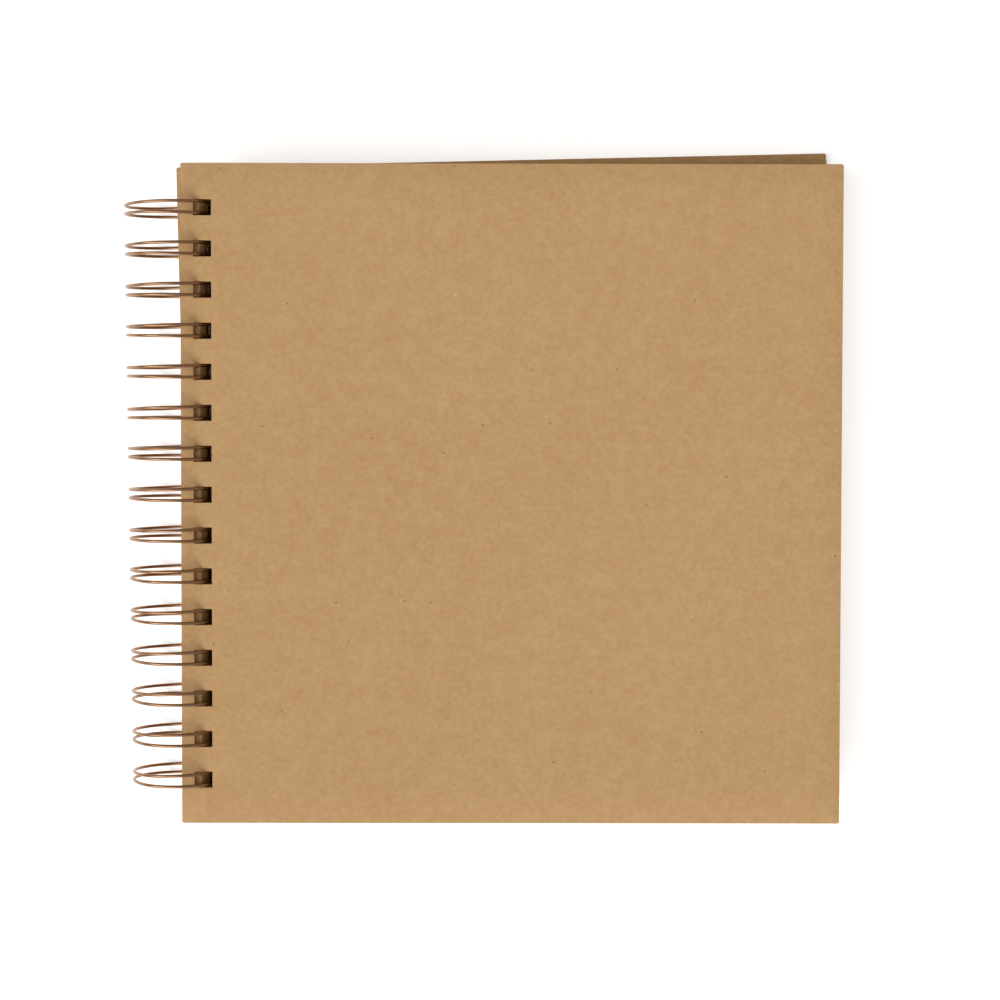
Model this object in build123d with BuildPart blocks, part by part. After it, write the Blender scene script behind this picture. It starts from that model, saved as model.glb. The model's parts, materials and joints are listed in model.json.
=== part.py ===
from build123d import *
import os
from math import asin, atan2, cos, degrees, hypot, radians, sin, sqrt

# A square wire-bound sketchbook lying shut: two kraft boards, forty leaves and one twin-loop wire.
# Millimetres and degrees. The wire runs along Y, the fore-edge is towards +X and +Z is up.

os.makedirs("parts", exist_ok=True)

# Boards and leaves
cover_side = 205.0
cover_thickness = 1.8
cover_corner = 0.6
leaf_side = 200.0
leaf_thickness = 0.32
leaf_gap = 0.056
leaf_count = 40
back_face_drop = 9.8

# The row of punched holes, from one die for boards and leaves alike
hole_count = 15
hole_pitch = 12.7
hole_along = 5.0
hole_across = 5.5
hole_margin = 4.0

# The twin-loop wire: its closed rings, the bends at their roots and the seam where the tips end. The
# two rings of a loop splay: they stand widest apart inside the holes and closest on the far side.
wire_diameter = 1.0
ring_radius = 13.3
widest_spacing = 3.6
closest_spacing = 2.5
widest_angle = 30.0
root_bend = 1.5
tip_gap = 1.2
seam_angle = -68.0

# How loosely the sheets hang: each is turned a little about the spine, the covers opposite ways
cover_skew = 0.7
top_leaf_skew = -0.6
bottom_leaf_skew = 0.2
wire_clearance = 0.12
cover_hang = 3.75
leaf_hang = 7.4

wire_radius = wire_diameter / 2
ring_reach = ring_radius + wire_radius
half_row = hole_pitch * (hole_count - 1) / 2


def spine_edge(bottom, thickness, skew, hang):
    """How far from the wire's axis a sheet's spine edge hangs, within what its holes allow."""
    low, high = sorted((abs(bottom), abs(bottom + thickness)))
    if bottom < 0 < bottom + thickness:
        low = 0.0
    sway = half_row * sin(radians(abs(skew)))
    inner = ring_radius - wire_radius - wire_clearance
    outer = ring_reach + wire_clearance
    most = sqrt(inner**2 - high**2) - sway - hole_margin
    least = sqrt(outer**2 - low**2) + sway - hole_margin - hole_across
    return min(max(hang, least), most)


# The stack, measured from the wire's axis: the back board, the leaves and the front board
first_leaf_bottom = cover_thickness - back_face_drop + leaf_gap
leaf_step = leaf_thickness + leaf_gap
front_bottom = first_leaf_bottom + leaf_count * leaf_step

# The shut book rests on the rings and on the fore-edge of its back board, so it lies tipped a little
back_edge = spine_edge(-back_face_drop, cover_thickness, cover_skew, cover_hang)
front_edge = spine_edge(front_bottom, cover_thickness, -cover_skew, cover_hang)
skew_cos = cos(radians(cover_skew))
skew_sin = sin(radians(cover_skew))
back_reach = (back_edge + cover_side) * skew_cos + cover_side / 2 * skew_sin
front_reach = (front_edge + cover_side) * skew_cos + cover_side / 2 * skew_sin
tip_down = asin(ring_reach / hypot(back_reach, back_face_drop)) - atan2(back_face_drop, back_reach)
right_side = front_reach * cos(tip_down) + (front_bottom + cover_thickness) * sin(tip_down)

# The book's own plane: its origin is on the wire's axis, half way along the spine
book = Plane(
    origin=((ring_reach - right_side) / 2, 0, ring_reach),
    x_dir=(cos(tip_down), 0, -sin(tip_down)),
    z_dir=(sin(tip_down), 0, cos(tip_down)),
)


def punched_sheet(bottom, thickness, side, corner, skew, hang):
    """A square sheet with its row of square holes along the spine edge."""
    edge = spine_edge(bottom, thickness, skew, hang)
    with BuildPart() as sheet:
        with BuildSketch(book.offset(bottom).rotated((0, 0, skew))):
            with Locations((edge + side / 2, 0)):
                outline = Rectangle(side, side)
            if corner:
                fillet(outline.vertices(), corner)
            with Locations((edge + hole_margin + hole_across / 2, 0)):
                with GridLocations(hole_pitch, hole_pitch, 1, hole_count):
                    Rectangle(hole_across, hole_along, mode=Mode.SUBTRACT)
        extrude(amount=thickness)
    return sheet


# Back cover: rigid kraft board, the piece that lies on the table
back_cover = punched_sheet(
    -back_face_drop, cover_thickness, cover_side, cover_corner, cover_skew, cover_hang
)
back_cover.part.label = "back_cover"
export_step(back_cover.part, "parts/back_cover.step")

# Leaves: heavy kraft drawing paper, numbered from the front of the book, each turning on the wire
# by itself
for number in range(leaf_count, 0, -1):
    rank = leaf_count - number
    share = rank / (leaf_count - 1)
    leaf = punched_sheet(
        first_leaf_bottom + rank * leaf_step,
        leaf_thickness,
        leaf_side,
        0,
        bottom_leaf_skew + share * (top_leaf_skew - bottom_leaf_skew),
        leaf_hang,
    )
    leaf.part.label = f"leaf_{number:02d}"
    export_step(leaf.part, f"parts/leaf_{number:02d}.step")

# Front cover: the same board as the back, hanging skewed the other way
front_cover = punched_sheet(
    front_bottom, cover_thickness, cover_side, cover_corner, -cover_skew, cover_hang
)
front_cover.part.label = "front_cover"
export_step(front_cover.part, "parts/front_cover.step")

# Wire binding: one wire bent into fifteen twin loops, closed round the spine. Each loop leaves the
# straight bridge at its root, runs round as a pair of rings and ends in a round tip at the seam,
# which is turned under the back board.


def half_spacing(angle):
    """Half the distance between the two rings of a loop at an angle."""
    mean = (widest_spacing + closest_spacing) / 4
    splay = (widest_spacing - closest_spacing) / 4
    return mean + splay * cos(radians(angle - widest_angle))


def on_ring(angle, y, along=0.0):
    """A point of the ring at an angle, moved along the ring's tangent there."""
    turn = radians(angle)
    x = ring_radius * cos(turn) - along * sin(turn)
    z = ring_radius * sin(turn) + along * cos(turn)
    return (x, y, z)


root_angle = seam_angle + degrees(root_bend / ring_radius)
tip_half = half_spacing(seam_angle)
tip_angle = seam_angle + 360 - degrees((tip_gap + tip_half) / ring_radius)
far_angle = (root_angle + tip_angle) / 2


def twin_loop(middle):
    """The wire of one loop, from the middle of one bridge to the middle of the next."""
    diagonal = root_bend * sqrt(0.5)
    with BuildPart() as loop:
        with BuildLine(book) as path:
            for side in (-1, 1):
                ring = middle + side * half_spacing(root_angle)
                root = ring + side * root_bend
                start = on_ring(root_angle, middle + side * hole_pitch / 2, -root_bend)
                Line(start, on_ring(root_angle, root, -root_bend))
                ThreePointArc(
                    on_ring(root_angle, root, -root_bend),
                    on_ring(root_angle, root - side * diagonal, -diagonal),
                    on_ring(root_angle, ring),
                )
                ThreePointArc(
                    on_ring(root_angle, ring),
                    on_ring(far_angle, middle + side * half_spacing(far_angle)),
                    on_ring(tip_angle, middle + side * tip_half),
                )
            ThreePointArc(
                on_ring(tip_angle, middle - tip_half),
                on_ring(tip_angle, middle, tip_half),
                on_ring(tip_angle, middle + tip_half),
            )
        with BuildSketch(path.line ^ 0):
            Circle(wire_radius)
        sweep(path=path.line)
    return loop.part


loops = [twin_loop(place * hole_pitch - half_row) for place in range(hole_count)]
with BuildPart() as wire_binding:
    add(loops)
wire_binding.part.label = "wire_binding"
export_step(wire_binding.part, "parts/wire_binding.step")
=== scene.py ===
import json
import math
import random

import bmesh
import bpy
from mathutils import Matrix, Vector


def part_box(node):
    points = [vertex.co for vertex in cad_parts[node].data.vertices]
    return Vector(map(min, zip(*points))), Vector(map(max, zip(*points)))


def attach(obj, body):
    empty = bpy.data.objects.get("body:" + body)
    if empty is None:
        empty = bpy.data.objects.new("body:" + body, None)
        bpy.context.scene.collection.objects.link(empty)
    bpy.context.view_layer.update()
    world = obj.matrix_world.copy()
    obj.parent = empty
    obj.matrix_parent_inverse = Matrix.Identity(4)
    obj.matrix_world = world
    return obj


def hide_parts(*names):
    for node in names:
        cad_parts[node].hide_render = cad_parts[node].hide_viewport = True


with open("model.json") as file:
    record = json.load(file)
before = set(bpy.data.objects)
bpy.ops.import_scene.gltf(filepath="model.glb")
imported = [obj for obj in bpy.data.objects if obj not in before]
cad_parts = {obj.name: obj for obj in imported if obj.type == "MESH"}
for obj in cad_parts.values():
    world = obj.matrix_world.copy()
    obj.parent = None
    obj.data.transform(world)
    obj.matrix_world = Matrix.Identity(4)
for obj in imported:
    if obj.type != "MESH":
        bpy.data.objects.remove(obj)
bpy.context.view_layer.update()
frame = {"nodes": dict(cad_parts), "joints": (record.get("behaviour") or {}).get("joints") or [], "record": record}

# ------------------------------------------------------------------------------------------------
# The two covers. Solid kraft board 1.8 mm thick, a brown unbleached liner on a pressed core, cut
# square and punched with fifteen holes along the spine. Each one hangs on the wire a little askew,
# so its lie is read from its own solid.
# ------------------------------------------------------------------------------------------------
MM = 0.001
HOLE_COUNT = 15
HOLE_PITCH = 12.7 * MM
HOLE_ALONG = 5.0 * MM
HOLE_ACROSS = 5.5 * MM
HOLE_MARGIN = 4.0 * MM
BOARD_CORNER = 0.6 * MM
BOARD_EDGE_ROUND = 0.2 * MM
BOARD_CELL = 9.0 * MM
SHARP_EDGE = math.radians(50)
FRONT_BOARD_BOW = 0.3 * MM
FORE_EDGE_MIDDLE_BOW = 0.4
LINER_HEX = "#BC9667"
LINER_DARK_HEX = "#AD8554"
LINER_LIGHT_HEX = "#C9A476"
FIBRE_HEX = "#8E6839"
FIBRE_LENGTH = 2.6 * MM
FIBRE_WIDTH = 0.35 * MM
FIBRE_LAYS = (0.2, 1.3, 2.4)
BARK_HEX = "#6E4A26"
PALE_FIBRE_HEX = "#DDC49B"
CORE_LIGHT_HEX = "#A98558"
CORE_DARK_HEX = "#8F6B41"
PLY_THICKNESS = 0.35 * MM
PLY_LENGTH = 16 * MM

spin = next(joint for joint in frame["joints"] if joint["name"] == "wire_spin")
rest = next(mount for mount in frame["record"]["mounts"] if mount["name"] == "back_cover_rest")
book_up = -Vector(rest["axis"])
book_tip = math.asin(book_up.x)
book = Matrix.Translation(spin["pos_m"]) @ Matrix.Rotation(book_tip, 4, "Y")
loop_row = [HOLE_PITCH * (place - (HOLE_COUNT - 1) / 2) for place in range(HOLE_COUNT)]


def linear(hex_colour):
    """An sRGB hex colour as the linear RGBA that a shader socket takes."""
    channels = [int(hex_colour[i : i + 2], 16) / 255 for i in (1, 3, 5)]
    return [c / 12.92 if c <= 0.04045 else ((c + 0.055) / 1.055) ** 2.4 for c in channels] + [1]


def add(tree, kind, settings, inputs, output=0):
    """Adds a node with its settings, each input a value or the socket that feeds it."""
    made = tree.nodes.new(kind)
    for name, value in settings.items():
        setattr(made, name, value)
    for name, value in inputs.items():
        if isinstance(value, bpy.types.NodeSocket):
            tree.links.new(value, made.inputs[name])
        else:
            made.inputs[name].default_value = value
    return made.outputs[output]


def new_material(name):
    """An empty material, its node tree and its shader."""
    material = bpy.data.materials.new(name)
    material.use_nodes = True
    return material, material.node_tree, material.node_tree.nodes["Principled BSDF"]


def show(mesh, material, node):
    """Shows a mesh in place of a CAD node, on that node's body and with its finish."""
    mesh.materials.append(material)
    piece = bpy.data.objects.new(mesh.name, mesh)
    bpy.context.scene.collection.objects.link(piece)
    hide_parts(node)
    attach(piece, node)


def lie_of(node):
    """A sheet's frame, with its origin at the middle of its spine edge, and its side and thickness."""
    points = [book.inverted() @ v.co for v in frame["nodes"][node].data.vertices]
    tail = min(points, key=lambda p: p.x + p.y)
    head = min(points, key=lambda p: p.x - p.y)
    skew = Matrix.Rotation(math.atan2(tail.x - head.x, head.y - tail.y), 4, "Z")
    square = [skew.inverted() @ p for p in points]
    spine = min(p.x for p in square)
    below = min(p.z for p in square)
    side = max(p.x for p in square) - spine
    thickness = max(p.z for p in square) - below
    return book @ skew @ Matrix.Translation((spine, 0, below)), side, thickness


def board(name, node, bow):
    """A punched board with eased edges, whose fore-edge corners lift by the bow, its middle less."""
    lie, side, thickness = lie_of(node)
    past_holes = HOLE_MARGIN + HOLE_ACROSS
    cells = math.ceil((side - past_holes) / BOARD_CELL)
    xs = [0, HOLE_MARGIN] + [past_holes + (side - past_holes) * i / cells for i in range(cells + 1)]
    sides = [y + end * HOLE_ALONG / 2 for y in loop_row for end in (-1, 1)]
    ys = [-side / 2] + sides + [side / 2]
    bm = bmesh.new()
    grid = [[bm.verts.new((x, y, 0)) for y in ys] for x in xs]
    for i in range(len(xs) - 1):
        for j in range(len(ys) - 1):
            if i != 1 or j % 2 == 0:
                bm.faces.new((grid[i][j], grid[i + 1][j], grid[i + 1][j + 1], grid[i][j + 1]))
    raised = bmesh.ops.extrude_face_region(bm, geom=list(bm.faces))["geom"]
    bmesh.ops.translate(
        bm, vec=(0, 0, thickness), verts=[v for v in raised if isinstance(v, bmesh.types.BMVert)]
    )
    bmesh.ops.recalc_face_normals(bm, faces=list(bm.faces))
    ends = [grid[i][j] for i in (0, -1) for j in (0, -1)]
    uprights = [e for v in ends for e in v.link_edges if e.verts[0].co.z != e.verts[1].co.z]
    bmesh.ops.bevel(
        bm, geom=uprights, offset=BOARD_CORNER, segments=4, profile=0.5, affect="EDGES"
    )
    sharp = [e for e in bm.edges if e.is_manifold and e.calc_face_angle() > SHARP_EDGE]
    bmesh.ops.bevel(
        bm, geom=sharp, offset=BOARD_EDGE_ROUND, segments=3, profile=0.5, affect="EDGES"
    )
    for v in bm.verts:
        reach = max(0, v.co.x - past_holes) / (side - past_holes)
        cornerwards = (2 * v.co.y / side) ** 2
        share = FORE_EDGE_MIDDLE_BOW + (1 - FORE_EDGE_MIDDLE_BOW) * cornerwards
        v.co.z += bow * reach**2 * share
    mesh = bpy.data.meshes.new(name)
    bm.to_mesh(mesh)
    bm.free()
    mesh.transform(lie)
    mesh.shade_smooth()
    return mesh


def kraft_liner_board():
    """Unbleached kraft liner: matt, mottled by pulp and loose fibres, over a layered cut edge."""
    material, tree, shader = new_material("kraft_liner_board")
    place = add(tree, "ShaderNodeTexCoord", {}, {}, "Object")

    # Pulp clouds of 45 mm, tufts of 5 mm and clumps of 1.6 mm, each a little lighter or darker. The
    # rows give their size, their octaves of detail and how much they count.
    colour = linear(LINER_HEX)
    for size, detail, amount in ((45 * MM, 2, 0.16), (5 * MM, 3, 0.26), (1.6 * MM, 1, 0.24)):
        clumps = add(
            tree,
            "ShaderNodeTexNoise",
            {},
            {"Vector": place, "Scale": 1 / size, "Detail": detail, "Roughness": 0.5},
        )
        spread = add(
            tree, "ShaderNodeMapRange", {}, {"Value": clumps, "From Min": 0.3, "From Max": 0.7}
        )
        tone = add(
            tree,
            "ShaderNodeMix",
            {"data_type": "RGBA"},
            {0: spread, 6: linear(LINER_DARK_HEX), 7: linear(LINER_LIGHT_HEX)},
            2,
        )
        colour = add(
            tree, "ShaderNodeMix", {"data_type": "RGBA"}, {0: amount, 6: colour, 7: tone}, 2
        )

    # Loose fibres that lie three ways. A real one is ten times thinner and would not show.
    for turn in FIBRE_LAYS:
        lay = add(
            tree,
            "ShaderNodeMapping",
            {"vector_type": "TEXTURE"},
            {"Vector": place, "Rotation": (0, 0, turn), "Scale": (FIBRE_LENGTH, FIBRE_WIDTH, 2 * MM)},
        )
        strand = add(tree, "ShaderNodeTexNoise", {}, {"Vector": lay, "Scale": 1, "Detail": 1})
        amount = add(
            tree,
            "ShaderNodeMapRange",
            {},
            {"Value": strand, "From Min": 0.66, "From Max": 0.76, "To Max": 0.26},
        )
        colour = add(
            tree,
            "ShaderNodeMix",
            {"data_type": "RGBA"},
            {0: amount, 6: colour, 7: linear(FIBRE_HEX)},
            2,
        )

    # Here and there a dark speck of bark or a pale fibre end, 0.4 to 1.2 mm across. The rows give
    # the spacing of the places, the share of them that stay bare, the colour and its strength.
    for spacing, rarity, speck, strength in (
        (4.2 * MM, 0.8, BARK_HEX, 0.7),
        (6.1 * MM, 0.86, PALE_FIBRE_HEX, 0.4),
    ):
        cells = {"Vector": place, "Scale": 1 / spacing}
        distance = add(tree, "ShaderNodeTexVoronoi", {}, cells, "Distance")
        draw = add(tree, "ShaderNodeTexVoronoi", {}, cells, "Color")
        dot = add(
            tree,
            "ShaderNodeMapRange",
            {},
            {"Value": distance, "From Min": 0.05, "From Max": 0.1, "To Min": strength, "To Max": 0},
        )
        chosen = add(tree, "ShaderNodeMath", {"operation": "GREATER_THAN"}, {0: draw, 1: rarity})
        amount = add(tree, "ShaderNodeMath", {"operation": "MULTIPLY"}, {0: dot, 1: chosen})
        colour = add(
            tree,
            "ShaderNodeMix",
            {"data_type": "RGBA"},
            {0: amount, 6: colour, 7: linear(speck)},
            2,
        )

    # Where the surface stands on edge it shows the core, pressed in thin plies
    lean = add(
        tree,
        "ShaderNodeVectorMath",
        {"operation": "DOT_PRODUCT"},
        {0: add(tree, "ShaderNodeTexCoord", {}, {}, "Normal"), 1: book_up},
        "Value",
    )
    upright = add(tree, "ShaderNodeMath", {"operation": "ABSOLUTE"}, {0: lean})
    cut = add(
        tree,
        "ShaderNodeMapRange",
        {},
        {"Value": upright, "From Min": 0.35, "From Max": 0.75, "To Min": 1, "To Max": 0},
    )
    layers = add(
        tree,
        "ShaderNodeMapping",
        {"vector_type": "TEXTURE"},
        {"Vector": place, "Rotation": (0, book_tip, 0), "Scale": (PLY_LENGTH, PLY_LENGTH, PLY_THICKNESS)},
    )
    ply = add(tree, "ShaderNodeTexNoise", {}, {"Vector": layers, "Scale": 1, "Detail": 3})
    core = add(
        tree,
        "ShaderNodeMix",
        {"data_type": "RGBA"},
        {0: ply, 6: linear(CORE_DARK_HEX), 7: linear(CORE_LIGHT_HEX)},
        2,
    )
    colour = add(tree, "ShaderNodeMix", {"data_type": "RGBA"}, {0: cut, 6: colour, 7: core}, 2)
    tree.links.new(colour, shader.inputs["Base Color"])

    # Dry and matt, with a tooth of fibre tufts a few hundredths of a millimetre high. They are drawn
    # 0.5 mm across, coarser than they are, so that they show.
    tooth = add(
        tree, "ShaderNodeTexNoise", {}, {"Vector": place, "Scale": 1 / (0.5 * MM), "Detail": 2}
    )
    relief = add(
        tree, "ShaderNodeBump", {}, {"Height": tooth, "Strength": 0.25, "Distance": 0.03 * MM}
    )
    tree.links.new(relief, shader.inputs["Normal"])
    shader.inputs["Roughness"].default_value = 0.86
    shader.inputs["IOR"].default_value = 1.5
    shader.inputs["Specular IOR Level"].default_value = 0.3
    return material


liner_board = kraft_liner_board()
show(board("back_board", "back_cover", 0), liner_board, "back_cover")
show(board("front_board", "front_cover", FRONT_BOARD_BOW), liner_board, "front_cover")

# ------------------------------------------------------------------------------------------------
# The leaves. Forty sheets of heavy kraft drawing paper, trimmed 5 mm smaller than the covers and
# punched with the same holes. The CAD sheets have their true shape, so they get the paper alone.
# ------------------------------------------------------------------------------------------------
PAPER_HEX = "#B48F5E"
PAPER_SHADE_HEX = "#A37E4F"
PULP_CLOUD = 3 * MM
PAPER_TOOTH = 0.6 * MM


def kraft_drawing_paper():
    """Kraft drawing paper: matt and even, with fine pulp mottling and a slight, coarsened tooth."""
    material, tree, shader = new_material("kraft_drawing_paper")
    place = add(tree, "ShaderNodeTexCoord", {}, {}, "Object")
    pulp = add(
        tree, "ShaderNodeTexNoise", {}, {"Vector": place, "Scale": 1 / PULP_CLOUD, "Detail": 4}
    )
    colour = add(
        tree,
        "ShaderNodeMix",
        {"data_type": "RGBA"},
        {0: pulp, 6: linear(PAPER_SHADE_HEX), 7: linear(PAPER_HEX)},
        2,
    )
    tree.links.new(colour, shader.inputs["Base Color"])
    tooth = add(
        tree, "ShaderNodeTexNoise", {}, {"Vector": place, "Scale": 1 / PAPER_TOOTH, "Detail": 2}
    )
    relief = add(
        tree, "ShaderNodeBump", {}, {"Height": tooth, "Strength": 0.25, "Distance": 0.02 * MM}
    )
    tree.links.new(relief, shader.inputs["Normal"])
    shader.inputs["Roughness"].default_value = 0.9
    shader.inputs["Specular IOR Level"].default_value = 0.3
    return material


paper = kraft_drawing_paper()
for name, sheet in frame["nodes"].items():
    if name.startswith("leaf_"):
        sheet.data.materials.clear()
        sheet.data.materials.append(paper)

# ------------------------------------------------------------------------------------------------
# The wire. One length of 1 mm steel wire in a copper lacquer, bent into fifteen twin loops whose
# rings splay towards the front cover, and pressed shut by machine, so no two loops lie quite alike.
# The tips end just short of the wire that joins the loops, under the back cover.
# ------------------------------------------------------------------------------------------------
WIRE_RADIUS = 0.5 * MM
RING_RADIUS = 13.3 * MM
WIDEST_SPACING = 3.6 * MM
CLOSEST_SPACING = 2.5 * MM
WIDEST_ANGLE = math.radians(30)
ROOT_BEND = 1.5 * MM
TIP_GAP = 1.2 * MM
SEAM_ANGLE = math.radians(-68)
ROOT_ANGLE = SEAM_ANGLE + ROOT_BEND / RING_RADIUS
# How far the loops' far sides lean towards the head: more at the tail end of the row, and each one a
# little its own way. The holes of a turned sheet slide along there and leave 0.5 mm of room.
TAIL_LEAN = 0.4 * MM
HEAD_LEAN = -0.1 * MM
LEAN_SCATTER = 0.3 * MM
MOST_LEAN = 0.5 * MM
LEAN_FROM = math.radians(105)
LEAN_TO = math.radians(185)
MOST_FLATTENING = 0.06 * MM
GAP_SCATTER = 0.3 * MM
RING_STEPS = 110
BEND_STEPS = 6
TIP_STEPS = 12
WIRE_SIDES = 16
LACQUER_HEX = "#A9825F"
LACQUER_WORN_HEX = "#936C4C"
WEAR_PATCH = 6 * MM


def on_ring(angle, y, along=0.0, inset=0.0):
    """A point of the ring at an angle, moved along the ring's tangent there or inwards."""
    outwards = Vector((math.cos(angle), 0, math.sin(angle)))
    tangent = Vector((-math.sin(angle), 0, math.cos(angle)))
    return (RING_RADIUS - inset) * outwards + along * tangent + Vector((0, y, 0))


def half_spacing(angle):
    """Half the distance between the two rings of a loop at an angle."""
    mean = (WIDEST_SPACING + CLOSEST_SPACING) / 4
    splay = (WIDEST_SPACING - CLOSEST_SPACING) / 4
    return mean + splay * math.cos(angle - WIDEST_ANGLE)


def loop_points(middle, lean, chance):
    """The centreline of one loop, whose far side leans towards the head of the book."""
    gap = TIP_GAP + chance.uniform(0, GAP_SCATTER)
    tip_half = half_spacing(SEAM_ANGLE)
    tip_angle = SEAM_ANGLE + 2 * math.pi - (gap + tip_half) / RING_RADIUS
    flattening = chance.uniform(0, MOST_FLATTENING)
    flat_angle = chance.uniform(0, math.pi)

    def sway(angle):
        share = min(1, max(0, (angle - LEAN_FROM) / (LEAN_TO - LEAN_FROM)))
        return lean * share**2 * (3 - 2 * share)

    def ring(side):
        for step in range(RING_STEPS + 1):
            share = step / RING_STEPS
            angle = ROOT_ANGLE + share * (tip_angle - ROOT_ANGLE)
            y = middle + side * half_spacing(angle) + sway(angle)
            inset = flattening * math.sin(angle - flat_angle) ** 2 * math.sin(math.pi * share)
            yield on_ring(angle, y, 0, inset)

    def root(side):
        for step in range(BEND_STEPS):
            turn = math.pi / 2 * step / BEND_STEPS
            spread = half_spacing(ROOT_ANGLE) + ROOT_BEND * (1 - math.sin(turn))
            yield on_ring(ROOT_ANGLE, middle + side * spread, -ROOT_BEND * math.cos(turn))

    tip = [
        on_ring(
            tip_angle,
            middle + sway(tip_angle) - tip_half * math.cos(math.pi * step / TIP_STEPS),
            tip_half * math.sin(math.pi * step / TIP_STEPS),
        )
        for step in range(1, TIP_STEPS)
    ]
    return [*root(-1), *ring(-1), *tip, *reversed([*root(1), *ring(1)])]


def round_wire(name, points):
    """A round wire along a centreline, its section carried along without twist, its ends cut."""
    bm = bmesh.new()
    rings = []
    ahead = (points[1] - points[0]).normalized()
    normal = ahead.orthogonal().normalized()
    for before, point, after in zip(points[:1] + points, points, points[1:] + points[-1:]):
        turned = (after - before).normalized()
        normal = ahead.rotation_difference(turned) @ normal
        normal = (normal - turned * normal.dot(turned)).normalized()
        ahead = turned
        across = ahead.cross(normal)
        ring = []
        for k in range(WIRE_SIDES):
            turn = 2 * math.pi * k / WIRE_SIDES
            offset = normal * math.cos(turn) + across * math.sin(turn)
            ring.append(bm.verts.new(point + WIRE_RADIUS * offset))
        rings.append(ring)
    for near, far in zip(rings, rings[1:]):
        for k in range(WIRE_SIDES):
            beside = (k + 1) % WIRE_SIDES
            bm.faces.new((near[k], near[beside], far[beside], far[k]))
    bm.faces.new(rings[0])
    bm.faces.new(rings[-1])
    bmesh.ops.recalc_face_normals(bm, faces=list(bm.faces))
    mesh = bpy.data.meshes.new(name)
    bm.to_mesh(mesh)
    bm.free()
    mesh.shade_smooth()
    return mesh


def copper_lacquered_steel():
    """Drawn steel under copper lacquer: warm and satin, with the clear lacquer's own pale gloss."""
    material, tree, shader = new_material("copper_lacquered_steel")
    place = add(tree, "ShaderNodeTexCoord", {}, {}, "Object")
    wear = add(
        tree, "ShaderNodeTexNoise", {}, {"Vector": place, "Scale": 1 / WEAR_PATCH, "Detail": 3}
    )
    colour = add(
        tree,
        "ShaderNodeMix",
        {"data_type": "RGBA"},
        {0: wear, 6: linear(LACQUER_WORN_HEX), 7: linear(LACQUER_HEX)},
        2,
    )
    tree.links.new(colour, shader.inputs["Base Color"])
    satin = add(
        tree,
        "ShaderNodeMapRange",
        {},
        {"Value": wear, "From Min": 0.3, "From Max": 0.7, "To Min": 0.3, "To Max": 0.4},
    )
    tree.links.new(satin, shader.inputs["Roughness"])
    shader.inputs["Metallic"].default_value = 1
    shader.inputs["Coat Weight"].default_value = 0.3
    shader.inputs["Coat Roughness"].default_value = 0.2
    return material


chance = random.Random(15)
bridge_end = loop_row[-1] + HOLE_PITCH / 2
centreline = [on_ring(ROOT_ANGLE, -bridge_end, -ROOT_BEND)]
for place, middle in enumerate(loop_row):
    trend = TAIL_LEAN + (HEAD_LEAN - TAIL_LEAN) * place / (HOLE_COUNT - 1)
    lean = min(MOST_LEAN, trend + chance.uniform(-LEAN_SCATTER, LEAN_SCATTER))
    centreline += loop_points(middle, lean, chance)
centreline.append(on_ring(ROOT_ANGLE, bridge_end, -ROOT_BEND))
wire = round_wire("twin_loop_wire", centreline)
wire.transform(book)
show(wire, copper_lacquered_steel(), "wire_binding")

# ------------------------------------------------------------------------------------------------
# The studio. A white laminate table with a painted glow that all but hides the book's shadow, two soft lamps
# on the spine side and the tail side, a weak one across, and a camera almost overhead.
# ------------------------------------------------------------------------------------------------
TABLE_SIDE = 60.0
TABLE_HEX = "#F3F3F2"
TABLE_SHADE_HEX = "#F0F0EE"
# The table's painted glow, which washes out the book's shadow, and how far inside the back cover it stops
TABLE_PAINTED_GLOW = 0.5
PAINTED_GLOW_STOP_MARGIN = 2 * MM
SKY_STRENGTH = 0.27
LENS_LENGTH = 91.9
SENSOR_WIDTH = 36
CAMERA_PLACE = (16.11 * MM, 29.66 * MM, 812.71 * MM)
CAMERA_TURNS = (-2.351, 0.804, -0.576)


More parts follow.
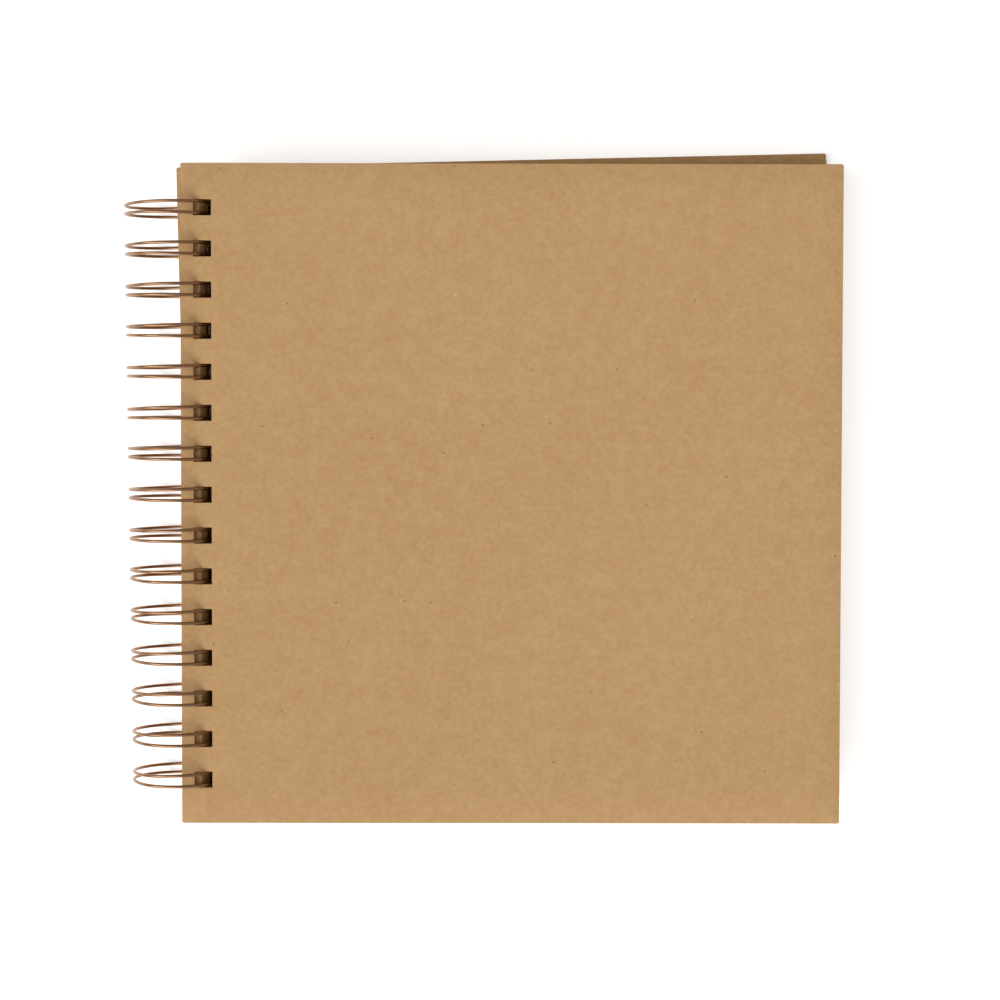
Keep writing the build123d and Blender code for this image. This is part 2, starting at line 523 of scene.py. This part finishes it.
def white_laminate_painted_glow():
    """Matt white laminate with a painted glow, from no lamp, that washes out the book's shadow; none right under
    the book.
    """
    material, tree, shader = new_material("white_laminate_painted_glow")
    place = add(tree, "ShaderNodeTexCoord", {}, {}, "Object")
    grain = add(tree, "ShaderNodeTexNoise", {}, {"Vector": place, "Scale": 1 / (60 * MM)})
    colour = add(
        tree,
        "ShaderNodeMix",
        {"data_type": "RGBA"},
        {0: grain, 6: linear(TABLE_SHADE_HEX), 7: linear(TABLE_HEX)},
        2,
    )
    tree.links.new(colour, shader.inputs["Base Color"])
    shader.inputs["Roughness"].default_value = 0.9

    # The painted glow stops inside the back cover's outline, so that none of it comes up through the holes
    low, high = (Vector(corner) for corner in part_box("back_cover"))
    half = (high - low) / 2
    from_middle = add(
        tree,
        "ShaderNodeVectorMath",
        {"operation": "SUBTRACT"},
        {0: place, 1: (low + high) / 2},
    )
    shares = add(
        tree,
        "ShaderNodeVectorMath",
        {"operation": "DIVIDE"},
        {0: from_middle, 1: (half.x - PAINTED_GLOW_STOP_MARGIN, half.y - PAINTED_GLOW_STOP_MARGIN, 1)},
    )
    distance = add(tree, "ShaderNodeVectorMath", {"operation": "ABSOLUTE"}, {0: shares})
    along = add(tree, "ShaderNodeSeparateXYZ", {}, {0: distance}, "X")
    across = add(tree, "ShaderNodeSeparateXYZ", {}, {0: distance}, "Y")
    farther = add(tree, "ShaderNodeMath", {"operation": "MAXIMUM"}, {0: along, 1: across})
    outside = add(tree, "ShaderNodeMath", {"operation": "GREATER_THAN"}, {0: farther, 1: 1.0})
    # Painted light: the table glows, though it is no lamp, to wash out the book's cast shadow
    painted_glow = add(tree, "ShaderNodeMath", {"operation": "MULTIPLY"}, {0: outside, 1: TABLE_PAINTED_GLOW})
    tree.links.new(painted_glow, shader.inputs["Emission Strength"])
    shader.inputs["Emission Color"].default_value = (1, 1, 1, 1)
    return material


def lamp(name, azimuth, elevation, spread, strength):
    """A broad far lamp that stands at an azimuth from +X and an elevation, in degrees."""
    light = bpy.data.lights.new(name, "SUN")
    light.angle = math.radians(spread)
    light.energy = strength
    holder = bpy.data.objects.new(name, light)
    round_about = math.radians(azimuth)
    up = math.radians(elevation)
    holder.rotation_mode = "QUATERNION"
    level = math.cos(up)
    towards = Vector((math.cos(round_about) * level, math.sin(round_about) * level, math.sin(up)))
    holder.rotation_quaternion = towards.to_track_quat("Z", "Y")
    bpy.context.scene.collection.objects.link(holder)


bm = bmesh.new()
bmesh.ops.create_grid(bm, x_segments=4, y_segments=4, size=TABLE_SIDE / 2)
table_top = bpy.data.meshes.new("table_top")
bm.to_mesh(table_top)
bm.free()
table_top.materials.append(white_laminate_painted_glow())
table = bpy.data.objects.new("table_top", table_top)
bpy.context.scene.collection.objects.link(table)

lamp("spine_side_lamp", azimuth=192, elevation=46, spread=36, strength=1.55)
lamp("tail_side_lamp", azimuth=-104, elevation=38, spread=36, strength=1.45)
lamp("fore_edge_lamp", azimuth=-40, elevation=55, spread=100, strength=0.35)
sky = bpy.data.worlds.new("studio_sky")
sky.use_nodes = True
sky.node_tree.nodes["Background"].inputs["Color"].default_value = (1, 1, 1, 1)
sky.node_tree.nodes["Background"].inputs["Strength"].default_value = SKY_STRENGTH
bpy.context.scene.world = sky
bpy.context.scene.view_settings.view_transform = "Standard"

lens = bpy.data.cameras.new("overhead_camera")
lens.sensor_width = SENSOR_WIDTH
lens.lens = LENS_LENGTH
lens.clip_start = 0.01
lens.clip_end = 100
camera = bpy.data.objects.new("overhead_camera", lens)
camera.location = CAMERA_PLACE
camera.rotation_euler = [math.radians(turn) for turn in CAMERA_TURNS]
bpy.context.scene.collection.objects.link(camera)
bpy.context.scene.camera = camera
